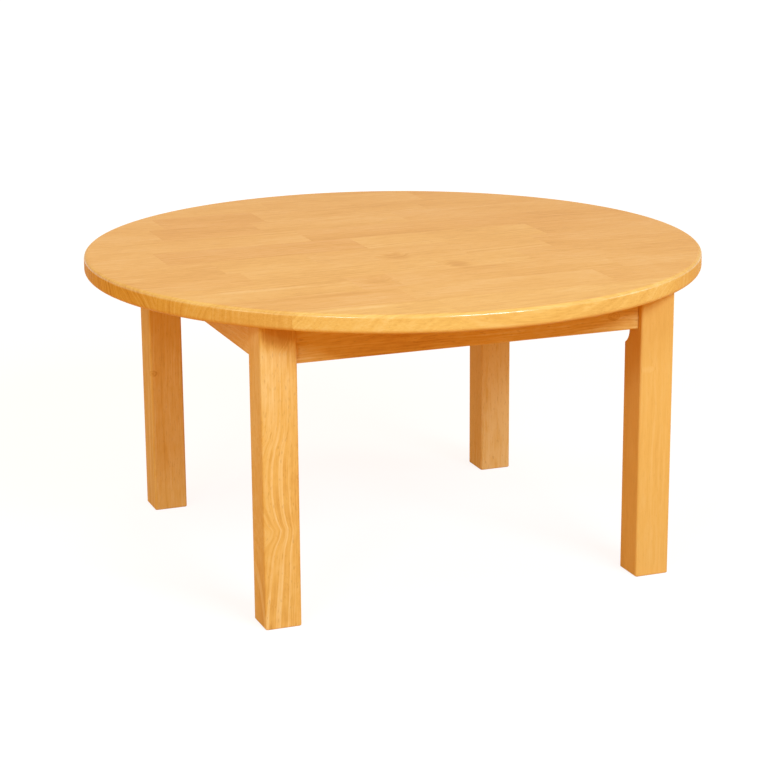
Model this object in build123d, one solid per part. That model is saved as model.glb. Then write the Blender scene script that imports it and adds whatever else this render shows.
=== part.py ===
"""Round low table in rubberwood: a board top on an apron frame, with four bolted square legs.

Each apron butts between two legs.  At each corner a pressed steel bracket hooks into a saw kerf
in both aprons and spans the corner at 45 degrees.  The leg's inner corner is cut flat there, and
two hanger bolts draw the leg tight against the apron ends.  Wood screws from below hold the top.

Millimetres.  The origin is on the floor under the table's centre, +Z is up, and the front apron
faces -Y.
"""

from build123d import *
import math
import os

# ---------------------------------------------------------------- driving dimensions

# Table
table_height = 350.0
top_diameter = 700.0
top_thickness = 20.0
top_upper_edge_radius = 4.5
top_lower_edge_radius = 5.0

# Legs
leg_size = 40.0
leg_spread = 474.0  # over the outer faces of two neighbouring legs
leg_arris_radius = 2.5
foot_edge_radius = 1.5
corner_cut = 12.0  # what the 45 degree flat takes off each inner face of the leg
corner_cut_reach = 6.0  # how far the full-depth flat runs on below the aprons
cutter_radius = 20.0  # of the wheel that leaves the curved run-out under the flat

# Aprons
apron_height = 46.0
apron_thickness = 18.0
apron_setback = 7.0  # behind the legs' outer faces
apron_edge_radius = 1.5
apron_end_radius = 1.0

# Corner brackets, pressed from steel strip
bracket_thickness = 2.0
bracket_height = 38.0
bracket_bend_radius = 0.6  # inside the bend
bracket_corner_radius = 3.0
bracket_draw_gap = 1.5  # between the strip and the leg, so that the bolts can draw the leg in
bracket_reach = 45.0  # from the leg's inner face to the kerf, along the apron
bracket_bolt_hole_diameter = 7.0
kerf_depth = 9.0
kerf_end_gap = 0.5
kerf_side_clearance = 0.2

# Hanger bolts, M6, with washers and nuts
bolt_diameter = 6.0
bolt_pitch = 18.0  # between the two bolts of a leg
bolt_wood_length = 30.0
bolt_machine_length = 18.0
bolt_tip_length = 5.0
bolt_end_chamfer = 0.8
pilot_spare_depth = 2.0
washer_outer_diameter = 12.0
washer_thickness = 1.6
lock_washer_outer_diameter = 11.0
lock_washer_thickness = 1.6
lock_washer_slit = 1.5
nut_across_flats = 10.0
nut_thickness = 5.0
fastener_clearance = 0.1  # radial, between a thread and its hole

# Screws that hold the brackets to the aprons, pan head
bracket_screw_diameter = 3.5
bracket_screw_length = 14.0
bracket_screw_head_diameter = 7.0
bracket_screw_head_height = 2.2
bracket_screw_offset = 14.0  # from the kerf, towards the leg; one screw to a flange, at mid height

# Screws that hold the top to the aprons, countersunk, each in a deep counterbore
top_screw_diameter = 4.0
top_screw_length = 38.0
top_screw_head_diameter = 8.0
top_screw_head_height = 2.6
top_screw_counterbore_diameter = 9.5
top_screw_counterbore_depth = 20.0
top_screw_spacing = 220.0  # between the two screws of an apron
screw_tip_length = 4.0
hidden_cut_overrun = 1.0  # how far a cut runs on past the wood

# ---------------------------------------------------------------- places worked out from them

leg_length = table_height - top_thickness
leg_outer = leg_spread / 2
leg_inner = leg_outer - leg_size
leg_centre = leg_outer - leg_size / 2

apron_bottom = leg_length - apron_height
apron_mid = leg_length - apron_height / 2
apron_outer = leg_outer - apron_setback
apron_inner = apron_outer - apron_thickness
apron_centre = apron_outer - apron_thickness / 2

# Distances along a corner's diagonal, from the table's axis
diagonal = math.sqrt(2)
cut_flat = (2 * leg_inner + corner_cut) / diagonal
bracket_outer_face = cut_flat - bracket_draw_gap
bracket_inner_face = bracket_outer_face - bracket_thickness
washer_seat = bracket_inner_face - washer_thickness
lock_washer_seat = washer_seat - lock_washer_thickness

kerf_near_face = leg_inner - bracket_reach
bolt_heights = (apron_mid - bolt_pitch / 2, apron_mid + bolt_pitch / 2)
bracket_screw_place = kerf_near_face + bracket_screw_offset
top_screw_places = (-top_screw_spacing / 2, top_screw_spacing / 2)
top_screw_seat = apron_bottom + top_screw_counterbore_depth
thread_bore_radius = bolt_diameter / 2 + fastener_clearance

# Every corner and every side is the same part turned about the table's axis.
CORNERS = {"back_right": 0, "back_left": 90, "front_left": 180, "front_right": 270}
SIDES = {"front": 0, "right": 90, "back": 180, "left": 270}


# ---------------------------------------------------------------- shared helpers

def on_diagonal(distance, height):
    """A plane on the back right corner's diagonal, facing out along it."""
    along = distance / diagonal
    return Plane(origin=(along, along, height), x_dir=(0, 0, 1), z_dir=(1, 1, 0))


def bracket_screw_seat(side):
    """A plane on a bracket flange at its screw, facing into the back (0) or right (1) apron."""
    face = apron_inner - bracket_thickness
    if side == 0:
        return Plane(origin=(bracket_screw_place, face, apron_mid), z_dir=(0, 1, 0))
    return Plane(origin=(face, bracket_screw_place, apron_mid), z_dir=(1, 0, 0))


def round_bar(plane, radius, start, end):
    """A cylinder on the plane's normal, from one height to another."""
    return extrude(plane.offset(start) * Circle(radius), amount=end - start)


def turned(points, plane):
    """A turned piece: half its outline (radius, height), spun about the plane's normal."""
    outline = make_face(Polyline(*points, close=True))
    return plane.location * revolve(Plane.XZ * outline, Axis.Z)


def group(solids):
    """Separate solids that share one node."""
    return Compound(children=list(solids))


# ---------------------------------------------------------------- tabletop

def tabletop():
    """A round board with a rounded rim, and blind pilot holes for the screws from below."""
    board = Pos(0, 0, leg_length) * Cylinder(
        top_diameter / 2, top_thickness, align=(Align.CENTER, Align.CENTER, Align.MIN)
    )
    rims = board.edges().filter_by(GeomType.CIRCLE).sort_by(Axis.Z)
    board = fillet(rims[-1], top_upper_edge_radius)
    board = fillet(board.edges().filter_by(GeomType.CIRCLE).sort_by(Axis.Z)[0], top_lower_edge_radius)
    reach = top_screw_seat + top_screw_length - leg_length + pilot_spare_depth
    for turn in SIDES.values():
        for along in top_screw_places:
            pilot = Plane((along, -apron_centre, leg_length))
            board -= Rot(0, 0, turn) * round_bar(
                pilot, top_screw_diameter / 2 + fastener_clearance, -hidden_cut_overrun, reach
            )
    return board


# ---------------------------------------------------------------- legs

def corner_cutter():
    """What the shaper takes off a leg: a flat across the inner corner, then its wheel's curve."""
    flat_bottom = apron_bottom - corner_cut_reach
    flat_height = leg_length + hidden_cut_overrun - flat_bottom
    wheel_centre = cut_flat - cutter_radius
    outline = Pos(wheel_centre, flat_bottom) * Circle(cutter_radius)
    outline += Pos(wheel_centre, flat_bottom + flat_height / 2) * Rectangle(2 * cutter_radius, flat_height)
    on_the_diagonal = Plane(origin=(0, 0, 0), x_dir=(1, 1, 0), z_dir=(1, -1, 0))
    return extrude(on_the_diagonal * outline, amount=leg_size, both=True)


def leg():
    """The back right leg: square, arrises eased, inner corner cut for the bracket and drilled."""
    post = Pos(leg_centre, leg_centre, leg_length / 2) * Box(leg_size, leg_size, leg_length)
    post = fillet(post.edges().filter_by(Axis.Z), leg_arris_radius)
    post = fillet(post.faces().sort_by(Axis.Z)[0].edges(), foot_edge_radius)
    post -= corner_cutter()
    for height in bolt_heights:
        pilot_end = bolt_wood_length + pilot_spare_depth
        post -= round_bar(on_diagonal(cut_flat, height), thread_bore_radius, -corner_cut, pilot_end)
    return post


# ---------------------------------------------------------------- aprons

def apron():
    """The front apron: kerfs for the brackets' hooks, screw pilots and two counterbores."""
    length = 2 * leg_inner
    rail = Pos(0, -apron_centre, apron_mid) * Box(length, apron_thickness, apron_height)
    outer_ends = rail.edges().filter_by(Axis.Z).group_by(Axis.Y)[0]
    rail = fillet(outer_ends, apron_end_radius)
    bottom_face = rail.faces().sort_by(Axis.Z)[0]
    rail = fillet(bottom_face.edges().filter_by(Axis.X), apron_edge_radius)

    kerf_near = kerf_near_face + kerf_side_clearance + bracket_bend_radius
    kerf_far = kerf_near_face - bracket_thickness - kerf_side_clearance
    kerf_width = kerf_near - kerf_far
    kerf = Box(kerf_width, 2 * kerf_depth, apron_height + 2 * hidden_cut_overrun)
    pilot_radius = bracket_screw_diameter / 2 + fastener_clearance
    pilot_depth = bracket_screw_length - bracket_thickness + pilot_spare_depth
    for side in (-1, 1):
        rail -= Pos(side * (kerf_near + kerf_far) / 2, -apron_inner, apron_mid) * kerf
        pilot = Plane(origin=(side * bracket_screw_place, -apron_inner, apron_mid), z_dir=(0, -1, 0))
        rail -= round_bar(pilot, pilot_radius, -hidden_cut_overrun, pilot_depth)

    for along in top_screw_places:
        bore = Plane((along, -apron_centre, apron_bottom))
        hole_radius = top_screw_diameter / 2 + fastener_clearance
        rail -= round_bar(bore, hole_radius, 0, apron_height + hidden_cut_overrun)
        counterbore_radius = top_screw_counterbore_diameter / 2
        rail -= round_bar(bore, counterbore_radius, -hidden_cut_overrun, top_screw_counterbore_depth)
        countersink = top_screw_profile(fastener_clearance)[:3] + [(0, top_screw_head_height)]
        rail -= turned(countersink, Plane((along, -apron_centre, top_screw_seat)))
    return rail


# ---------------------------------------------------------------- corner brackets

def corner_bracket():
    """The back right bracket: one strip with a 45 degree land, two flanges and two kerf hooks."""
    half = bracket_thickness / 2
    flange_line = apron_inner - half
    hook_line = kerf_near_face - half
    hook_end = apron_inner + kerf_depth - kerf_end_gap
    land_line = (bracket_outer_face - half) * diagonal - flange_line
    middle = [
        (hook_line, hook_end),
        (hook_line, flange_line),
        (land_line, flange_line),
        (flange_line, land_line),
        (flange_line, hook_line),
        (hook_end, hook_line),
    ]
    with BuildPart() as strip:
        with BuildSketch(Plane.XY.offset(apron_mid)):
            with BuildLine():
                path = FilletPolyline(*middle, radius=bracket_bend_radius + half)
            trace(path, line_width=bracket_thickness)
        extrude(amount=bracket_height / 2, both=True)
    bracket = strip.part
    for height in bolt_heights:
        land = on_diagonal(bracket_inner_face, height)
        hole_end = bracket_thickness + hidden_cut_overrun
        bracket -= round_bar(land, bracket_bolt_hole_diameter / 2, -hidden_cut_overrun, hole_end)
    for side in (0, 1):
        hole_radius = bracket_screw_diameter / 2 + fastener_clearance
        hole_end = bracket_thickness + hidden_cut_overrun
        bracket -= round_bar(bracket_screw_seat(side), hole_radius, -hidden_cut_overrun, hole_end)
    hook_corners = [
        edge
        for edge in bracket.edges().filter_by(GeomType.LINE)
        if edge.length < bracket_thickness * 1.01
        and max(edge.center().X, edge.center().Y) > hook_end - bracket_thickness / 2
    ]
    return fillet(hook_corners, bracket_corner_radius)


# ---------------------------------------------------------------- bolts, washers and nuts

def hanger_bolt(height):
    """A headless bolt: wood thread and cone point in the leg, machine thread through the bracket."""
    radius = bolt_diameter / 2
    points = [
        (0, -bolt_machine_length),
        (radius - bolt_end_chamfer, -bolt_machine_length),
        (radius, -bolt_machine_length + bolt_end_chamfer),
        (radius, bolt_wood_length - bolt_tip_length),
        (0, bolt_wood_length),
    ]
    return turned(points, on_diagonal(cut_flat, height))


def flat_washer(height):
    """A plain M6 washer against the bracket."""
    seat = on_diagonal(washer_seat, height)
    disc = round_bar(seat, washer_outer_diameter / 2, 0, washer_thickness)
    return disc - round_bar(seat, thread_bore_radius, -hidden_cut_overrun, washer_thickness + hidden_cut_overrun)


def lock_washer(height):
    """A split spring washer, closed flat under the nut."""
    seat = on_diagonal(lock_washer_seat, height)
    ring = round_bar(seat, lock_washer_outer_diameter / 2, 0, lock_washer_thickness)
    ring -= round_bar(seat, thread_bore_radius, -hidden_cut_overrun, lock_washer_thickness + hidden_cut_overrun)
    slit = Box(lock_washer_slit, lock_washer_outer_diameter, 4 * lock_washer_thickness)
    return ring - seat.location * Pos(0, lock_washer_outer_diameter / 2, 0) * slit


def hex_nut(height):
    """An M6 nut with a plain bearing face, its corners turned off at 30 degrees on the other."""
    seat = on_diagonal(lock_washer_seat - nut_thickness, height)
    corner_radius = nut_across_flats / math.sqrt(3)
    prism = extrude(seat * RegularPolygon(corner_radius, 6), amount=nut_thickness)
    flat_radius = nut_across_flats / 2
    drop = (corner_radius - flat_radius) * math.tan(math.radians(30))
    envelope = [
        (0, 0),
        (flat_radius, 0),
        (corner_radius, drop),
        (corner_radius, nut_thickness),
        (0, nut_thickness),
    ]
    nut = prism & turned(envelope, seat)
    return nut - round_bar(seat, thread_bore_radius, -hidden_cut_overrun, nut_thickness + hidden_cut_overrun)


# ---------------------------------------------------------------- screws

def bracket_screw(side):
    """A pan-head screw through a bracket flange into the apron."""
    radius = bracket_screw_diameter / 2
    head_radius = bracket_screw_head_diameter / 2
    head_top = -bracket_screw_head_height
    points = [
        (0, head_top),
        (head_radius * 0.7, head_top),
        (head_radius, head_top * 0.5),
        (head_radius, 0),
        (radius, 0),
        (radius, bracket_screw_length - screw_tip_length),
        (0, bracket_screw_length),
    ]
    return turned(points, bracket_screw_seat(side))


def top_screw_profile(clearance):
    """Half the outline of a countersunk screw, head face at height 0, grown by a clearance."""
    radius = top_screw_diameter / 2 + clearance
    head_radius = top_screw_head_diameter / 2 + clearance
    return [
        (0, 0),
        (head_radius, 0),
        (radius, top_screw_head_height),
        (radius, top_screw_length - screw_tip_length),
        (0, top_screw_length),
    ]


def top_screw(along):
    """A countersunk screw up through the front apron into the top."""
    return turned(top_screw_profile(0), Plane((along, -apron_centre, top_screw_seat)))


# ---------------------------------------------------------------- the table, node by node

def build_nodes():
    """Every node of the table at its place, by name."""
    nodes = {"tabletop": tabletop()}
    corner_parts = {
        "leg": leg(),
        "corner_bracket": corner_bracket(),
        "hanger_bolts": group(hanger_bolt(height) for height in bolt_heights),
        "flat_washers": group(flat_washer(height) for height in bolt_heights),
        "lock_washers": group(lock_washer(height) for height in bolt_heights),
        "hex_nuts": group(hex_nut(height) for height in bolt_heights),
        "bracket_screws": group(bracket_screw(side) for side in (0, 1)),
    }
    side_parts = {
        "apron": apron(),
        "top_screws": group(top_screw(along) for along in top_screw_places),
    }
    for parts, places in ((corner_parts, CORNERS), (side_parts, SIDES)):
        for name, part in parts.items():
            for place, turn in places.items():
                nodes[f"{name}_{place}"] = Rot(0, 0, turn) * part
    return nodes


os.makedirs("parts", exist_ok=True)
for node, shape in build_nodes().items():
    export_step(shape, f"parts/{node}.step")
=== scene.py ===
"""Round low table in lacquered rubberwood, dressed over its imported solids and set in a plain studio."""
import math

import bmesh
import bpy
import numpy as np
from mathutils import Matrix, Vector


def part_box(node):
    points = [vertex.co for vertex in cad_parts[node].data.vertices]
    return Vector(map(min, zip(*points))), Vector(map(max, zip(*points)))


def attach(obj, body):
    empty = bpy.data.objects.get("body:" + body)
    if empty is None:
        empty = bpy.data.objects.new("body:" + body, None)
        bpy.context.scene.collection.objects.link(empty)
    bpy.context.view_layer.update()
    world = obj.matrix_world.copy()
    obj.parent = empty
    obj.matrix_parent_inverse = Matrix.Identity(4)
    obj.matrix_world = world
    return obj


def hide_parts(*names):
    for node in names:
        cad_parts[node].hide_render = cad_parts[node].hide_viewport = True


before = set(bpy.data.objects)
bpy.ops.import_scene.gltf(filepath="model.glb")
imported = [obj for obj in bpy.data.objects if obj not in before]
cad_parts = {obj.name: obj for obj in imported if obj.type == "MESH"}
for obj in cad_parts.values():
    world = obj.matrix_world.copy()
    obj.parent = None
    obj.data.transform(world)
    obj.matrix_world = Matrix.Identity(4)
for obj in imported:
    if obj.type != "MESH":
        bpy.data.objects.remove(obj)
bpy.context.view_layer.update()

# ------------------------------------------------------------------ legs
# Four square sticks of rubberwood, sawn along the trunk, planed, their arrises eased and
# sprayed with clear satin lacquer.  Each hangs on two bolts in the frame's corner.

MM = 0.001


def linear(colour):
    """An sRGB hex colour as linear RGBA: ((c + 0.055) / 1.055) ** 2.4, and c / 12.92 near black."""
    channels = np.array([int(colour[i:i + 2], 16) for i in (1, 3, 5)]) / 255
    low = channels / 12.92
    high = ((channels + 0.055) / 1.055) ** 2.4
    return (*np.where(channels <= 0.04045, low, high), 1.0)


def add_node(tree, kind, inputs=None, **settings):
    """A shader node with its settings made, and each input either linked or given its value."""
    added = tree.nodes.new("ShaderNode" + kind)
    for name, value in settings.items():
        setattr(added, name, value)
    for name, value in (inputs or {}).items():
        if isinstance(value, bpy.types.NodeSocket):
            tree.links.new(value, added.inputs[name])
        else:
            added.inputs[name].default_value = value
    return added


def new_material(name):
    """An empty node material and its tree."""
    material = bpy.data.materials.new(name)
    material.use_nodes = True
    material.node_tree.nodes.clear()
    return material, material.node_tree


def lay_curve(mapping, points, corners):
    """Lays a curve through points (x, y), smooth but for a sharp bend at each x in corners."""
    curve = mapping.curves[0]
    curve.points[0].location, curve.points[1].location = points[0], points[-1]
    for point in points[1:-1]:
        curve.points.new(*point)
    for point in curve.points:
        if any(math.isclose(point.location[0], x, abs_tol=1e-4) for x in corners):
            point.handle_type = "VECTOR"
    mapping.update()


def dress(node_name, material):
    """Gives a carried-over node its finish in every material slot."""
    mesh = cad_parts[node_name].data
    mesh.materials.clear()
    mesh.materials.append(material)


# Rubberwood is pale and straight grained: faint growth rings 3 to 5 mm apart, long open pores
# that show as short dark strokes, and a fine lengthwise streak.  The lacquer warms it to honey.
HONEY_DARK = "#d8a24d"
HONEY = "#ecc067"
HONEY_PALE = "#f6d68f"
PORE = "#a66a24"
grain_patterns = {  # each pattern's width, length, detail and the place in the noise where it starts
    "sway": (55 * MM, 150 * MM, 3.0, 3.1),
    "streak": (1.3 * MM, 45 * MM, 3.0, 7.7),
    "mottle": (4 * MM, 16 * MM, 2.0, 2.3),
    "pore": (1.2 * MM, 7 * MM, 1.0, 11.3),  # real ones are 0.2 mm wide, too fine to show
    "cloud": (60 * MM, 160 * MM, 2.0, 5.9),
    "patch": (30 * MM, 110 * MM, 1.0, 9.1),
}
pattern_tones = {"streak": 0.2, "mottle": 0.14, "cloud": 0.22}
noise_low, noise_high = 0.3, 0.7  # the range that noise rarely leaves
patch_low, patch_high = 0.4, 0.6  # patch noise where the rings are faintest, and where they are full
faintest_rings = 0.3
end_rings = 2.0  # how much stronger they are on a cut end
end_absorption = (-0.1, -0.27, -0.7)  # what a cut end takes away from each channel
fade_start, fade_end, faded_rings = -2 * MM, 3 * MM, 0.2  # about the radius where a piece turns plain
mark_and_shade_swell = 3  # rings that a mark pushes aside
mark_core = 0.2  # the part of a mark's size that has its full tone
pore_low, pore_high = 0.62, 0.74  # pore noise at a pore's edge, and in its middle
pore_depth = 0.28  # how far a pore goes from the wood's colour to PORE
wood_roughness = (0.3, 0.42)
# How much lacquer stays on, by how far a face looks up: it builds up along an upper edge
lacquer_build = ((0.0, 0.03), (0.22, 0.03), (0.34, 0.75), (0.49, 0.75), (0.62, 0.24), (0.8, 0.24),
                 (0.9, 0.14), (1.0, 0.14))


def rubberwood(name, lie, figure=1.0, tint=None, marks_and_shade=(), tone_mean=0.5, ring_spacing=4.2 * MM,
               ring_tones=(0.3, 0.7, -0.34, 0.34), ring_sway=7 * MM, plain_beyond=None):
    """Solid lacquered rubberwood.  lie(tree) gives each point's place in the log (metres, Z along
    the trunk, the heart at X = Y = 0) and the way the grain runs.  Growth rings lie about the
    heart, ring_spacing apart, and their tone is noise over the radius.  ring_tones gives the
    noise of a dark ring and of a pale one, then what those add to the tone.  The rings wander
    by ring_sway, and fade out past the radius plain_beyond.  Streaks, mottle, pores and clouds
    are noise drawn out along the trunk.  figure is how strongly all of these show, about
    tone_mean, on a scale from HONEY_DARK (0) to HONEY_PALE (1).  Each mark, a knot, a stain or a
    patch of painted shade, is a centre, a half size (mm, on the object) and a tone: near it the
    rings swell and the wood goes darker or paler.  tint(tree, colour) has the last word on the colour."""
    material, tree = new_material(name)
    trunk, grain = lie(tree)
    noise = {}
    for pattern, (width, length, detail, start) in grain_patterns.items():
        drawn_out = add_node(tree, "Mapping", {
            "Vector": trunk,
            "Location": (start, start / 3, start / 2),
            "Scale": (1 / width, 1 / width, 1 / length)})
        noise[pattern] = add_node(tree, "TexNoise", {
            "Vector": drawn_out.outputs[0], "Scale": 1.0, "Detail": detail, "Roughness": 0.55})

    aside = add_node(tree, "VectorMath", {0: noise["sway"].outputs["Color"], 1: (0.5, 0.5, 0.5)},
                     operation="SUBTRACT")
    swayed = add_node(tree, "VectorMath", {0: aside.outputs[0], 1: (2 * ring_sway,) * 3, 2: trunk},
                      operation="MULTIPLY_ADD")
    across = add_node(tree, "VectorMath", {0: swayed.outputs[0], 1: (1, 1, 0)}, operation="MULTIPLY")
    radius = add_node(tree, "VectorMath", {0: across.outputs[0]}, operation="LENGTH").outputs["Value"]
    mark_and_shade_tone = 0.0
    for centre, half_size, strength in marks_and_shade:
        near = add_node(tree, "Mapping", {
            "Vector": add_node(tree, "TexCoord").outputs["Object"],
            "Location": Vector(centre) * MM,
            "Scale": Vector(half_size) * MM}, vector_type="TEXTURE")
        distance = add_node(tree, "VectorMath", {0: near.outputs[0]}, operation="LENGTH").outputs["Value"]
        nearness = add_node(tree, "MapRange", {"Value": distance, "From Min": 1.0, "From Max": mark_core},
                            interpolation_type="SMOOTHSTEP").outputs[0]
        radius = add_node(tree, "Math", {0: nearness, 1: mark_and_shade_swell * ring_spacing, 2: radius},
                          operation="MULTIPLY_ADD").outputs[0]
        mark_and_shade_tone = add_node(tree, "Math", {0: nearness, 1: strength, 2: mark_and_shade_tone},
                             operation="MULTIPLY_ADD").outputs[0]
    ring_count = add_node(tree, "Math", {0: radius, 1: ring_spacing}, operation="DIVIDE")
    rings = add_node(tree, "TexNoise", {"W": ring_count.outputs[0], "Scale": 1.0, "Detail": 3.0,
                                        "Roughness": 0.6}, noise_dimensions="1D")

    # Rings come and go along a piece, and show most on its cut ends, where a face's normal has
    # its cosine to the grain near 1: its fourth power leaves the long faces out
    facing = add_node(tree, "VectorMath", {0: add_node(tree, "TexCoord").outputs["Normal"], 1: grain},
                      operation="DOT_PRODUCT").outputs["Value"]
    end_grain = add_node(tree, "Math", {0: facing, 1: 4.0}, operation="POWER").outputs[0]
    patch = add_node(tree, "MapRange", {
        "Value": noise["patch"].outputs[0], "From Min": patch_low, "From Max": patch_high,
        "To Min": faintest_rings, "To Max": 1.0})
    shown = add_node(tree, "Math", {0: end_grain, 1: end_rings, 2: patch.outputs[0]},
                     operation="MULTIPLY_ADD")
    dark_noise, pale_noise, dark_tone, pale_tone = ring_tones
    ring_tone = add_node(tree, "MapRange", {
        "Value": rings.outputs[0], "From Min": dark_noise, "From Max": pale_noise,
        "To Min": dark_tone * figure, "To Max": pale_tone * figure})
    tone = add_node(tree, "Math", {0: ring_tone.outputs[0], 1: shown.outputs[0]}, operation="MULTIPLY")
    if plain_beyond:
        fade = add_node(tree, "MapRange", {
            "Value": radius, "From Min": plain_beyond + fade_start, "From Max": plain_beyond + fade_end,
            "To Min": 1.0, "To Max": faded_rings})
        tone = add_node(tree, "Math", {0: tone.outputs[0], 1: fade.outputs[0]}, operation="MULTIPLY")
    tone = add_node(tree, "Math", {0: tone.outputs[0], 1: tone_mean}, operation="ADD")
    for pattern, reach in pattern_tones.items():
        part = add_node(tree, "MapRange", {
            "Value": noise[pattern].outputs[0], "From Min": noise_low, "From Max": noise_high,
            "To Min": -reach * figure, "To Max": reach * figure})
        tone = add_node(tree, "Math", {0: tone.outputs[0], 1: part.outputs[0]}, operation="ADD")
    tone = add_node(tree, "Math", {0: tone.outputs[0], 1: mark_and_shade_tone}, operation="ADD")
    wood = add_node(tree, "ValToRGB", {"Fac": tone.outputs[0]})
    ramp = wood.color_ramp
    ramp.elements[0].position, ramp.elements[0].color = 0.0, linear(HONEY_DARK)
    ramp.elements[1].position, ramp.elements[1].color = 1.0, linear(HONEY_PALE)
    ramp.elements.new(0.5).color = linear(HONEY)
    pore = add_node(tree, "MapRange", {
        "Value": noise["pore"].outputs[0], "From Min": pore_low, "From Max": pore_high,
        "To Min": 0.0, "To Max": pore_depth * figure})
    pored = add_node(tree, "Mix", {0: pore.outputs[0], 6: wood.outputs[0], 7: linear(PORE)},
                     data_type="RGBA")
    # Cut ends drink more lacquer and come out darker and redder than the long faces
    absorbed = add_node(tree, "VectorMath", {0: end_absorption, "Scale": end_grain}, operation="SCALE")
    kept = add_node(tree, "VectorMath", {0: absorbed.outputs[0], 1: (1, 1, 1)}, operation="ADD")
    colour = add_node(tree, "VectorMath", {0: pored.outputs[2], 1: kept.outputs[0]},
                      operation="MULTIPLY").outputs[0]
    if tint:
        colour = tint(tree, colour)

    rough = add_node(tree, "MapRange", {
        "Value": noise["streak"].outputs[0], "From Min": noise_low, "From Max": noise_high,
        "To Min": wood_roughness[0], "To Max": wood_roughness[1]})
    height = add_node(tree, "Math", {0: pore.outputs[0], 1: noise["streak"].outputs[0]},
                      operation="SUBTRACT")
    bump = add_node(tree, "Bump", {"Height": height.outputs[0], "Strength": 0.25, "Distance": 0.15 * MM})
    up = add_node(tree, "SeparateXYZ", {0: add_node(tree, "TexCoord").outputs["Normal"]}).outputs[2]
    lacquer = add_node(tree, "FloatCurve", {"Value": up})
    lay_curve(lacquer.mapping, lacquer_build, [x for x, _ in lacquer_build])
    # Wood under lacquer of nearly its own index has no gloss of its own: the coat gives it all
    surface = add_node(tree, "BsdfPrincipled", {
        "Base Color": colour, "Roughness": rough.outputs[0], "IOR": 1.03,
        "Coat Weight": lacquer.outputs[0], "Coat Roughness": 0.16, "Coat IOR": 1.7,
        "Normal": bump.outputs[0]})
    add_node(tree, "OutputMaterial", {"Surface": surface.outputs[0]})
    return material


leg_low, leg_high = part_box("leg_front_left")
leg_length = leg_high.z - leg_low.z
bow_side = (leg_high.x - leg_low.x) / 2
# One leg was cut beside a branch: its grain bows aside twice, with a kink between, a third of the
# way up
bowed_grain = ((0.0, 0.5), (0.085, 0.467), (0.17, 0.42), (0.255, 0.34), (0.312, 0.13), (0.33, 0.086),
               (0.373, 0.27), (0.424, 0.342), (0.51, 0.356), (0.59, 0.27), (0.636, 0.12), (0.69, 0.02),
               (1.0, 0.0))
kink = 0.33


def sawn(along, place, heart, slope, bow=()):
    """How a straight piece lay in its log.  The piece's centre is at place, its length runs along
    that axis, and the log's heart passes it at heart (mm), turned by slope (radians).  bow gives
    pairs of a height up the leg (0 to 1) and how far the grain swings aside there, as a part of
    the distance from the side at bow_side: x + swing (bow_side - x)."""
    turn = {"X": (0, math.pi / 2, 0), "Y": (-math.pi / 2, 0, 0), "Z": (0, 0, 0)}[along]
    grain = {"X": (1, 0, 0), "Y": (0, 1, 0), "Z": (0, 0, 1)}[along]

    def lie(tree):
        in_piece = add_node(tree, "Mapping", {
            "Vector": add_node(tree, "TexCoord").outputs["Object"],
            "Location": place,
            "Rotation": turn}, vector_type="TEXTURE").outputs[0]
        if bow:
            parts = add_node(tree, "SeparateXYZ", {0: in_piece})
            height = add_node(tree, "MapRange", {"Value": parts.outputs[2], "From Min": -leg_length / 2,
                                                 "From Max": leg_length / 2})
            swing = add_node(tree, "FloatCurve", {"Value": height.outputs[0]})
            lay_curve(swing.mapping, bow, (kink,))
            aside = add_node(tree, "Math", {0: bow_side, 1: parts.outputs[0]}, operation="SUBTRACT")
            bent = add_node(tree, "Math", {0: swing.outputs[0], 1: aside.outputs[0], 2: parts.outputs[0]},
                            operation="MULTIPLY_ADD")
            in_piece = add_node(tree, "CombineXYZ", {0: bent.outputs[0], 1: parts.outputs[1],
                                                     2: parts.outputs[2]}).outputs[0]
        in_log = add_node(tree, "Mapping", {
            "Vector": in_piece,
            "Location": (-heart[0] * MM, -heart[1] * MM, 0),
            "Rotation": (slope[1], slope[0], 0)})
        return in_log.outputs[0], grain

    return lie


legs = {  # the heart (mm from the leg's centre), the slope of its grain, its bow, and its wood
    "front_left": ((120, 10), (0.0, 0.0), bowed_grain, {
        "figure": 0.85, "tone_mean": 0.6, "ring_spacing": 3.4 * MM,
        "ring_tones": (0.49, 0.64, -0.1, 0.47), "ring_sway": 1.5 * MM, "plain_beyond": 126 * MM,
        # The mark high on this leg's front is painted shade: a dark patch where the top's shadow falls
        # under the rim
        "marks_and_shade": (((-217, -237, 318), (36, 9, 22), -0.75),)}),
    "front_right": ((95, 40), (0.01, 0.02), (), {
        "figure": 0.3, "marks_and_shade": (((206, -237, 239), (12, 9, 5), 0.14),)}),
    "back_right": ((-60, 80), (0.02, -0.03), (), {"figure": 0.9, "tone_mean": 0.9}),
    "back_left": ((70, -75), (-0.02, 0.02), (), {
        "figure": 0.7, "tone_mean": 0.62, "marks_and_shade": (((-233, 197, 173), (8, 8, 5), -0.35),)}),
}
for corner, (heart, slope, bow, wood) in legs.items():
    low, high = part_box(f"leg_{corner}")
    leg_lie = sawn("Z", (low + high) / 2, heart, slope, bow)
    dress(f"leg_{corner}", rubberwood(f"lacquered_rubberwood_leg_{corner}", leg_lie, **wood))

# ------------------------------------------------------------------ aprons
# Four plain rails of the same wood and lacquer, planed square.  They butt between the legs, are
# drawn to them by the corner brackets, and hold the top by screws from below.

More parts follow.
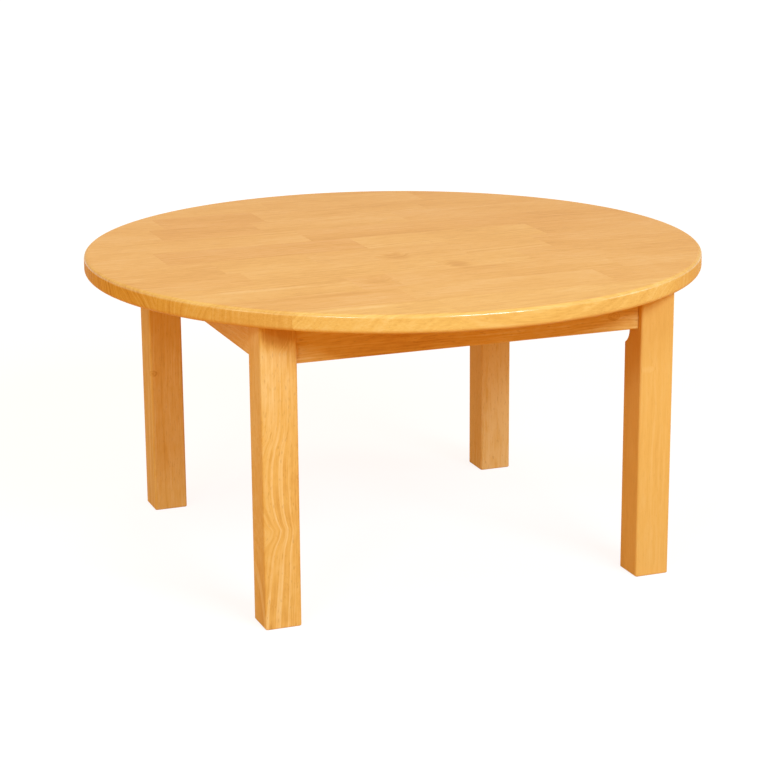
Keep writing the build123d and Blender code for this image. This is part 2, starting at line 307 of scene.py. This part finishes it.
aprons = {  # the way it runs, the heart (mm from its centre), the slope of its grain, and its wood
    "front": ("X", (85, 40), (0.01, 0.015), {
        "tone_mean": 0.52, "marks_and_shade": (((167, -230, 300), (9, 8, 6), -0.4),)}),
    "back": ("X", (-70, 60), (0.015, -0.01), {"tone_mean": 0.52}),
    "left": ("Y", (50, 95), (0.01, 0.01), {"tone_mean": 0.72}),
    "right": ("Y", (-65, 70), (-0.01, 0.015), {"tone_mean": 0.52}),
}
for side, (along, heart, slope, wood) in aprons.items():
    low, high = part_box(f"apron_{side}")
    apron_lie = sawn(along, (low + high) / 2, heart, slope)
    dress(f"apron_{side}", rubberwood(f"lacquered_rubberwood_apron_{side}", apron_lie, **wood))

# ------------------------------------------------------------------ corner brackets
# One strip of 2 mm galvanised steel to each corner, bent to a land and two flanges.  Its ends
# hook into kerfs in the aprons, and the leg's bolts pass through the land.

TARNISH = "#6f6c65"  # what the duller crystals tend to
wear_width = 9 * MM
wear_roughness = (-0.06, 0.14)  # how much smoother or rougher wear makes it


def zinc(name, colour, roughness, crystal_width, contrast):
    """Zinc on steel: crystals crystal_width across differ a little in tint, by contrast, and
    noise wear_width across varies the gloss about roughness and dents the surface slightly."""
    material, tree = new_material(name)
    place = add_node(tree, "TexCoord").outputs["Object"]
    crystal = add_node(tree, "TexVoronoi", {"Vector": place, "Scale": 1 / crystal_width})
    wear = add_node(tree, "TexNoise", {"Vector": place, "Scale": 1 / wear_width, "Detail": 3.0})
    brightness = add_node(tree, "SeparateColor", {"Color": crystal.outputs["Color"]})
    tint = add_node(tree, "MapRange", {"Value": brightness.outputs[0], "To Min": 1 - contrast,
                                       "To Max": 1.0})
    shade = add_node(tree, "Mix", {0: tint.outputs[0], 6: linear(TARNISH), 7: linear(colour)},
                     data_type="RGBA")
    rough = add_node(tree, "MapRange", {
        "Value": wear.outputs[0], "From Min": noise_low, "From Max": noise_high,
        "To Min": roughness + wear_roughness[0], "To Max": roughness + wear_roughness[1]})
    bump = add_node(tree, "Bump", {"Height": wear.outputs[0], "Strength": 0.2, "Distance": 0.05 * MM})
    surface = add_node(tree, "BsdfPrincipled", {
        "Base Color": shade.outputs[2], "Metallic": 1.0, "Roughness": rough.outputs[0],
        "Normal": bump.outputs[0]})
    add_node(tree, "OutputMaterial", {"Surface": surface.outputs[0]})
    return material


# Hot-dipped zinc: grey, with broad faint spangle
galvanised = zinc("galvanised_strip", "#b9bab4", 0.38, 5 * MM, 0.25)
for corner in legs:
    dress(f"corner_bracket_{corner}", galvanised)

# ------------------------------------------------------------------ washers and nuts
# M6 steel from stock, bright zinc plated: on each bolt a flat washer bears on the bracket, then
# come a split spring washer and a hex nut.

# Plated zinc: smooth and bright, with a grain too fine to see, drawn 1.2 mm wide
bright_zinc = zinc("bright_zinc_plate", "#cfd2d2", 0.26, 1.2 * MM, 0.12)
for corner in legs:
    for kind in ("flat_washers", "lock_washers", "hex_nuts"):
        dress(f"{kind}_{corner}", bright_zinc)

# ------------------------------------------------------------------ hanger bolts
# M6 steel, bright zinc plated, two to a leg.  The machine end carries a rolled thread and a
# chamfer; the end that is driven into the leg stays out of sight, so its thread is left off.

bolt_radius = 3 * MM
bolt_tip, bolt_wood_end, bolt_length = 5 * MM, 30 * MM, 48 * MM
bolt_chamfer = 0.8 * MM
thread_pitch, thread_depth = 1.0 * MM, 0.61 * MM
thread_flat = 0.1  # the flat of a crest or a root, as a part of the pitch
rings_per_turn = 8
bolt_facets = 40
point_radius = 0.02 * MM  # where a cone comes to a point


def ring_solid(radii, heights, frames):
    """Closed solids about an axis, one for each frame (a 3 x 3 turn and a place).  Point (i, j)
    lies radii[i, j] out at angle 2 pi j / n and heights[i] along.  A face closes each end."""
    count = radii.shape[1]
    angles = np.linspace(0, 2 * np.pi, count, endpoint=False)
    along = np.repeat(heights[:, None], count, 1)
    points = np.stack((radii * np.cos(angles), radii * np.sin(angles), along), 2).reshape(-1, 3)
    row, column = np.meshgrid(np.arange(len(radii) - 1), np.arange(count), indexing="ij")
    after = (column + 1) % count
    quads = np.stack((row * count + column, row * count + after, (row + 1) * count + after,
                      (row + 1) * count + column), 2).reshape(-1, 4)
    ends = np.stack((np.arange(count)[::-1], len(points) - count + np.arange(count)))
    starts = len(points) * np.arange(len(frames))[:, None, None]
    placed = np.concatenate([points @ np.array(turn).T + np.array(place) for turn, place in frames])
    return placed, [*(quads + starts).reshape(-1, 4).tolist(), *(ends + starts).reshape(-1, count).tolist()]


def new_piece(name, points, faces, material, node_name, slot):
    """A new piece from points and faces, in the place of the carried-over node of that name."""
    mesh = bpy.data.meshes.new(name)
    mesh.from_pydata(points, [], faces)
    mesh.materials.append(material)
    mesh.shade_smooth()
    piece = bpy.data.objects.new(name, mesh)
    bpy.context.scene.collection.objects.link(piece)
    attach(piece, "root")
    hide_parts(node_name)
    return piece


def pointing(direction):
    """The turn that takes an axis from Z to a direction."""
    return Vector(direction).to_track_quat("Z", "Y").to_matrix()


def outer_and_inner(node_name):
    """The box of a corner's node as two places: farthest from the table's axis, and nearest."""
    low, high = (np.array(corner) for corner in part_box(node_name))
    is_far = np.abs(high) > np.abs(low)
    return np.where(is_far, high, low), np.where(is_far, low, high)


ring_count = round((bolt_length - bolt_wood_end) / thread_pitch * rings_per_turn) + 1
thread_heights = np.linspace(bolt_wood_end, bolt_length, ring_count)[:, None]
thread_angles = np.linspace(0, 2 * np.pi, bolt_facets, endpoint=False)
# A V groove with flat crest and root winds up the bolt: across is |2 frac(h / pitch - a / 2 pi) - 1|,
# 0 on a crest and 1 at a root.  It starts shallow, over one turn
across = np.abs(2 * ((thread_heights / thread_pitch - thread_angles / (2 * np.pi)) % 1) - 1)
run_in = np.clip((thread_heights - bolt_wood_end) / thread_pitch, 0, 1)
groove = thread_depth * np.clip((across - thread_flat) / (1 - 2 * thread_flat), 0, 1) * run_in
chamfer = bolt_radius - bolt_chamfer + bolt_length - thread_heights
shank = np.repeat([[point_radius], [bolt_radius]], bolt_facets, 1)
bolt_radii = np.concatenate((shank, np.minimum(bolt_radius - groove, chamfer)))
bolt_rings = np.concatenate(([0, bolt_tip], thread_heights[:, 0]))
for corner in legs:
    outer, _ = outer_and_inner(f"hanger_bolts_{corner}")
    low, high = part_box(f"hanger_bolts_{corner}")
    turn = pointing((-np.sign(outer[0]), -np.sign(outer[1]), 0))
    frames = [(turn, (outer[0], outer[1], height))
              for height in (low.z + bolt_radius, high.z - bolt_radius)]
    new_piece(f"hanger_bolts_{corner}_detailed", *ring_solid(bolt_radii, bolt_rings, frames), bright_zinc,
              f"hanger_bolts_{corner}", "bolt_steel")

# ------------------------------------------------------------------ screws
# Steel, yellow zinc plated, with a cross recess punched in the head: a pan head on each bracket
# flange, and countersunk ones up through the aprons.  Their threads are hidden in the wood.

# Chromate over zinc: a pale gold that shifts a little from grain to grain
yellow_zinc = zinc("yellow_zinc_plate", "#cdb983", 0.26, 1.2 * MM, 0.2)
screw_facets = 48
screw_tip = 4 * MM
pan_radius, pan_shank_radius = 3.5 * MM, 1.75 * MM
pan_seat, pan_edge, pan_top = 14 * MM, 15.1 * MM, 16.2 * MM
pan_flat = 0.7  # the flat part of its top, to its radius
pan_recess, pan_recess_depth = 1.9 * MM, 1.4 * MM
flat_radius, flat_shank_radius = 4 * MM, 2 * MM
flat_neck, flat_top = 35.4 * MM, 38 * MM
flat_recess, flat_recess_depth = 2.1 * MM, 1.6 * MM
arm_width = math.tan(math.radians(15))  # half the width of a recess's arm, to its reach
recess_taper = 0.6  # the width of a recess at its floor, to its width at its mouth
crisp_bend = math.radians(35)  # bends of more than this stay sharp

screw_angles = np.linspace(0, 2 * np.pi, screw_facets, endpoint=False)
# The recess is a cross in outline: for an angle a from an arm, min(1 / cos a, arm_width / sin a)
from_arm = np.abs((screw_angles + np.pi / 4) % (np.pi / 2) - np.pi / 4)
cross = np.minimum(1 / np.cos(from_arm), arm_width / np.maximum(np.sin(from_arm), 1e-6))


def screw_rings(shank_radius, head, recess, recess_depth):
    """A screw's rings from its point up: shank, the head's outline as radii and heights, then
    the cross recess, which narrows by recess_taper down to its floor."""
    outline = np.array(((point_radius, 0), (shank_radius, screw_tip), (shank_radius, head[0][1]), *head))
    round_radii = np.repeat(outline[:, :1], screw_facets, 1)
    top = outline[-1, 1]
    return (np.concatenate((round_radii, [recess * cross, recess_taper * recess * cross])),
            np.concatenate((outline[:, 1], [top, top - recess_depth])))


dome = np.radians((0, 22.5, 45, 67.5, 90))
dome_radii = (pan_flat + (1 - pan_flat) * np.cos(dome)) * pan_radius
dome_heights = pan_edge + (pan_top - pan_edge) * np.sin(dome)
pan_head = ((pan_radius, pan_seat), *np.stack((dome_radii, dome_heights), 1))
pan_screw = screw_rings(pan_shank_radius, pan_head, pan_recess, pan_recess_depth)
for corner in legs:
    outer, inner = outer_and_inner(f"bracket_screws_{corner}")
    sign = np.sign(outer)
    axis = inner + sign * pan_radius
    height = (outer[2] + inner[2]) / 2
    frames = [(pointing((-sign[0], 0, 0)), (outer[0], axis[1], height)),
              (pointing((0, -sign[1], 0)), (axis[0], outer[1], height))]
    screws = new_piece(f"bracket_screws_{corner}_detailed", *ring_solid(*pan_screw, frames), yellow_zinc,
                       f"bracket_screws_{corner}", "screw_steel")
    screws.data.set_sharp_from_angle(angle=crisp_bend)

flat_head = ((flat_shank_radius, flat_neck), (flat_radius, flat_top))
flat_screw = screw_rings(flat_shank_radius, flat_head, flat_recess, flat_recess_depth)
head_inset = np.array((flat_radius, flat_radius, 0))
for side in aprons:
    low, high = (np.array(corner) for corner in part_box(f"top_screws_{side}"))
    frames = [(pointing((0, 0, -1)), (*place[:2], high[2]))
              for place in (low + head_inset, high - head_inset)]
    screws = new_piece(f"top_screws_{side}_detailed", *ring_solid(*flat_screw, frames), yellow_zinc,
                       f"top_screws_{side}", "screw_steel")
    screws.data.set_sharp_from_angle(angle=crisp_bend)

# ------------------------------------------------------------------ tabletop
# A round board glued up from planed staves, finger-jointed end to end, then turned to a
# rounded rim and lacquered.  The staves run left to right and differ in tone and figure.

top_low, top_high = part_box("tabletop")
top_radius = (top_high.x - top_low.x) / 2
under_side, upper_side = top_low.z, top_high.z
upper_round, lower_round = 4.5 * MM, 5 * MM
round_steps, rim_facets = 9, 288
planed, turned = 0.98, 0.85  # the upward part of the normal on the planed face, and on the turned edge
stave_width = 66.15 * MM
first_seam = -276.15 * MM  # the seam nearest the front
# Rows from the front, each a run of staves from left to right: where it ends (mm; 400 is past the
# rim) and its tone, and for one of them where its log's heart was (mm).  The tones differ at random,
# but the front row is set paler, partly as painted light where the lamps fall on the front rim, and
# the last stave of each row, on the right, is set darker as painted shade
staves = (
    ((-60, 1.5, (-90, -40)), (400, 0.9)),
    ((-78, -0.5), (150, 0.1), (400, -0.4)),
    ((-112, 0.5), (-65, -0.5), (190, -0.1), (400, -0.3)),
    ((-207, -0.3), (10, 0.6), (115, 0.5), (400, -0.4)),
    ((-222, 0.0), (-112, 0.6), (60, 0.1), (165, 0.2), (400, -0.6)),
    ((-268, 0.1), (-33, -1.1), (190, 0.7), (400, -0.8)),
    ((-78, 0.2), (119, -0.5), (400, -0.8)),
    ((-236, 0.1), (-112, -0.8), (70, 0.1), (400, -0.4)),
    ((-215, 0.1), (-90, -0.9), (120, 0.1), (400, -0.2)),
    ((-60, 0.3), (140, 0.1), (400, -0.4)),
    ((400, 0.0),),
)
last_row = len(staves) - 1
base_tint = (1.0, 0.93, 0.98)
tone_tint = (0.03, 0.065, 0.1)  # what tone 1 adds to it
turned_tint = (-0.01, 0.08, 0.03)  # what the turned edge adds


def quarter_round(radius, centre_height, start, end):
    """Points of an arc on the rim's profile, by angle a from level: for the top's radius R and
    the arc's r, R - r + r cos a out, at height centre_height + r sin a."""
    angles = np.radians(np.linspace(start, end, round_steps))
    return np.stack((top_radius - radius + radius * np.cos(angles),
                     centre_height + radius * np.sin(angles)), 1)


profile = np.concatenate((
    quarter_round(lower_round, under_side + lower_round, -90, 0),
    quarter_round(upper_round, upper_side - upper_round, 0, 90),
))
board_radii = np.repeat(profile[:, :1], rim_facets, 1)
points, faces = ring_solid(board_radii, profile[:, 1], [(np.eye(3), np.zeros(3))])


def stave_in_log(tree):
    """Where a point of a stave lay in its log: its place along, across and up, moved by the
    stave's own place and sheared by its own slope, so that neighbours never match."""
    place = add_node(tree, "TexCoord").outputs["Object"]
    lower = add_node(tree, "VectorMath", {0: place, 1: (0, 0, upper_side)}, operation="SUBTRACT")
    parts = add_node(tree, "SeparateXYZ", {0: lower.outputs[0]})
    laid = add_node(tree, "CombineXYZ", {0: parts.outputs[1], 1: parts.outputs[2], 2: parts.outputs[0]})
    log_place = add_node(tree, "Attribute", attribute_name="stave_place").outputs["Vector"]
    moved = add_node(tree, "VectorMath", {0: laid.outputs[0], 1: log_place}, operation="ADD")
    slope = add_node(tree, "Attribute", attribute_name="stave_slope").outputs["Vector"]
    leaning = add_node(tree, "VectorMath", {0: slope, "Scale": parts.outputs[0]}, operation="SCALE")
    in_log = add_node(tree, "VectorMath", {0: moved.outputs[0], 1: leaning.outputs[0]}, operation="ADD")
    return in_log.outputs[0], (1, 0, 0)


def stave_tint(tree, colour):
    """Staves of tone 1 are paler and those of tone -1 browner, and the turned edge is a little
    yellower than the faces: the colour times base_tint + tone tone_tint + edge turned_tint."""
    tone = add_node(tree, "Attribute", attribute_name="stave_tone").outputs["Fac"]
    shift = add_node(tree, "VectorMath", {0: tone_tint, "Scale": tone}, operation="SCALE")
    face_scale = add_node(tree, "VectorMath", {0: shift.outputs[0], 1: base_tint}, operation="ADD")
    up = add_node(tree, "SeparateXYZ", {0: add_node(tree, "TexCoord").outputs["Normal"]}).outputs[2]
    edge = add_node(tree, "MapRange", {"Value": up, "From Min": planed, "From Max": turned})
    scale = add_node(tree, "VectorMath", {0: edge.outputs[0], 1: turned_tint, 2: face_scale.outputs[0]},
                     operation="MULTIPLY_ADD")
    return add_node(tree, "VectorMath", {0: colour, 1: scale.outputs[0]}, operation="MULTIPLY").outputs[0]


stave_marks = (  # three small knots, then two pale streaks and a brown one
    ((28, -126, 350), (19, 26, 30), -0.3),
    ((-86, -174, 350), (27, 24, 30), -0.22),
    ((-22, -62, 350), (25, 24, 30), -0.2),
    ((-200, -169, 350), (115, 8, 30), 0.24),
    ((-140, -285, 350), (75, 8, 30), 0.28),
    ((-155, -221, 350), (110, 10, 30), -0.2),
)
stave_wood = rubberwood("lacquered_rubberwood_staves", stave_in_log, 0.6, stave_tint, stave_marks,
                        ring_tones=(0.3, 0.7, -0.24, 0.24))
board = new_piece("tabletop_staves", points, faces, stave_wood, "tabletop", "tabletop_wood")
board_mesh = board.data

# The seams are cut into the faces: all the rows first, then the joints of each row
cutting = bmesh.new()
cutting.from_mesh(board_mesh)
for row in range(last_row):
    everything = cutting.verts[:] + cutting.edges[:] + cutting.faces[:]
    bmesh.ops.bisect_plane(cutting, geom=everything, plane_co=(0, first_seam + row * stave_width, 0),
                           plane_no=(0, 1, 0))


def row_of(y):
    """The row of staves at y, counted from the front: floor((y - first seam) / width) + 1."""
    return np.clip(np.floor((y - first_seam) / stave_width) + 1, 0, last_row)


for row, run in enumerate(staves):
    for end, *_ in run[:-1]:
        in_row = [face for face in cutting.faces if row_of(face.calc_center_median().y) == row]
        edges = {edge for face in in_row for edge in face.edges}
        verts = {vert for face in in_row for vert in face.verts}
        bmesh.ops.bisect_plane(cutting, geom=list(verts) + list(edges) + in_row,
                               plane_co=(end * MM, 0, 0), plane_no=(1, 0, 0))
bmesh.ops.triangulate(cutting, faces=[face for face in cutting.faces if len(face.verts) > 4])
cutting.to_mesh(board_mesh)
cutting.free()

# Each face carries its stave's tone, and where and how steeply that stave lay in its log.  Unless
# it is given, the log's heart was 60 to 140 mm to one side and within 60 mm above or below
centres = np.zeros(len(board_mesh.polygons) * 3)
board_mesh.polygons.foreach_get("center", centres)
centres = centres.reshape(-1, 3)
face_rows = row_of(centres[:, 1])
shuffled = np.random.default_rng(11)
tones = np.zeros(len(centres))
log_places = np.zeros((len(centres), 3))
slopes = np.zeros((len(centres), 3))
for row, run in enumerate(staves):
    start = -math.inf
    row_middle = first_seam + (row - 0.5) * stave_width
    for end, tone, *given in run:
        chosen = (face_rows == row) & (centres[:, 0] >= start) & (centres[:, 0] < end * MM)
        tones[chosen] = tone
        side = shuffled.choice((-1, 1))
        heart = given[0] if given else (side * shuffled.uniform(60, 140), shuffled.uniform(-60, 60))
        log_places[chosen] = (heart[0] * MM - row_middle, heart[1] * MM, shuffled.uniform(-3, 3))
        slopes[chosen] = (shuffled.uniform(-0.06, 0.06), shuffled.uniform(-0.05, 0.05), 0)
        start = end * MM
for name, kind, field, values in (("stave_tone", "FLOAT", "value", tones),
                                  ("stave_place", "FLOAT_VECTOR", "vector", log_places),
                                  ("stave_slope", "FLOAT_VECTOR", "vector", slopes)):
    attribute = board_mesh.attributes.new(name, kind, "FACE")
    attribute.data.foreach_set(field, values.astype(np.float32).ravel())
board.modifiers.new("flat_faces_stay_flat", "WEIGHTED_NORMAL")

# ------------------------------------------------------------------ studio
# A pale floor that keeps the table's shadow, and an even white surround.  The broad front lamp
# makes the long gleam on the rim, the small catch lamp the short one; the others fill in.

WHITE = linear("#ffffff")
PAPER_GREY = "#898989"  # what light adds to the floor's own glow, and a shadow leaves out
WARM_BOUNCE = "#dc9b34"  # what the floor throws up at the table
WARM_SURROUND = "#ffd89f"
floor_reach = 30.0
glow_start, glow_end = 0.8, 3.0  # between these distances the floor's glow rises to plain white
glow_by_table = 0.86


def seen_ray(tree):
    """1 for a ray from the camera, off gloss or through glass, and 0 for one that gathers light."""
    ray = add_node(tree, "LightPath")
    sharp = add_node(tree, "Math", {0: ray.outputs["Is Camera Ray"], 1: ray.outputs["Is Glossy Ray"]},
                     operation="MAXIMUM")
    return add_node(tree, "Math", {0: sharp.outputs[0], 1: ray.outputs["Is Transmission Ray"]},
                    operation="MAXIMUM").outputs[0]


floor_mesh = bpy.data.meshes.new("studio_floor")
floor_corners = [(x * floor_reach, y * floor_reach, 0) for x, y in ((-1, -1), (1, -1), (1, 1), (-1, 1))]
floor_mesh.from_pydata(floor_corners, [], [(0, 1, 2, 3)])
floor = bpy.data.objects.new("studio_floor", floor_mesh)
bpy.context.scene.collection.objects.link(floor)
material, tree = new_material("studio_paper")
bounce = add_node(tree, "BsdfDiffuse", {"Color": linear(WARM_BOUNCE)})
paper = add_node(tree, "BsdfDiffuse", {"Color": linear(PAPER_GREY)})
place = add_node(tree, "TexCoord").outputs["Object"]
distance = add_node(tree, "VectorMath", {0: place}, operation="LENGTH")
glow = add_node(tree, "MapRange", {"Value": distance.outputs["Value"], "From Min": glow_start,
                                   "From Max": glow_end, "To Min": glow_by_table, "To Max": 1.0})
white = add_node(tree, "Emission", {"Color": WHITE, "Strength": glow.outputs[0]})
seen_paper = add_node(tree, "AddShader", {0: paper.outputs[0], 1: white.outputs[0]})
shown = add_node(tree, "MixShader", {0: seen_ray(tree), 1: bounce.outputs[0], 2: seen_paper.outputs[0]})
add_node(tree, "OutputMaterial", {"Surface": shown.outputs[0]})
floor_mesh.materials.append(material)


def soft_lamp(name, place, aim_height, size, power, colour=(1, 1, 1)):
    """A rectangular area lamp at place, turned so that its face looks at the table's axis."""
    lamp = bpy.data.lights.new(name, "AREA")
    lamp.shape, lamp.size, lamp.size_y, lamp.energy, lamp.color = "RECTANGLE", *size, power, colour
    holder = bpy.data.objects.new(name, lamp)
    direction = Vector((0, 0, aim_height)) - Vector(place)
    turn = direction.to_track_quat("-Z", "Y").to_matrix().to_4x4()
    holder.matrix_world = Matrix.Translation(place) @ turn
    bpy.context.scene.collection.objects.link(holder)


# Place, height of aim, width and height (m), power (W) and tint: the wood is warm, so the lamps
# that make the gleams are cool
soft_lamp("front_lamp", (0.62, -2.55, 1.78), 0.25, (1.3, 0.66), 40.5, (0.885, 1.1, 1.4))
soft_lamp("catch_lamp", (-1.92, -2.2, 1.87), 0.25, (0.7, 0.22), 12, (0.89, 1.07, 1.35))
soft_lamp("top_lamp", (-0.3, 0.4, 2.4), 0.35, (0.8, 0.8), 9, (1.0, 0.86, 0.92))
soft_lamp("left_lamp", (-2.6, -1.0, 1.05), 0.2, (1.0, 1.0), 11, (1, 0.97, 0.72))
soft_lamp("right_lamp", (2.6, -1.0, 0.9), 0.2, (1.0, 1.0), 8)

world = bpy.data.worlds.new("studio_surround")
world.use_nodes = True
bpy.context.scene.world = world
tree = world.node_tree
tree.nodes.clear()
soft = add_node(tree, "Background", {"Color": linear(WARM_SURROUND), "Strength": 0.54})
white = add_node(tree, "Background", {"Color": WHITE, "Strength": 1.0})
shown = add_node(tree, "MixShader", {0: seen_ray(tree), 1: soft.outputs[0], 2: white.outputs[0]})
add_node(tree, "OutputWorld", {"Surface": shown.outputs[0]})

# ------------------------------------------------------------------ camera
# Standing a little left of the front, looking down at 15 degrees through a long lens, and
# rolled by less than half a degree.

camera_place = (-0.9047, -2.3348, 0.8603)
yaw, pitch, roll = math.radians(20.93), math.radians(15.09), math.radians(0.43)
focal_length, sensor_width, farthest = 104.7, 36.0, 200

ahead = Vector((math.sin(yaw) * math.cos(pitch), math.cos(yaw) * math.cos(pitch), -math.sin(pitch)))
level = Vector((math.cos(yaw), -math.sin(yaw), 0))
down = ahead.cross(level)
right = math.cos(roll) * level + math.sin(roll) * down
below = -math.sin(roll) * level + math.cos(roll) * down
camera = bpy.data.objects.new("camera", bpy.data.cameras.new("camera"))
camera.data.lens, camera.data.sensor_width, camera.data.clip_end = focal_length, sensor_width, farthest
turn = Matrix((right, -below, -ahead)).transposed().to_4x4()
camera.matrix_world = Matrix.Translation(camera_place) @ turn
bpy.context.scene.collection.objects.link(camera)
bpy.context.scene.camera = camera
bpy.context.scene.view_settings.view_transform = "Standard"
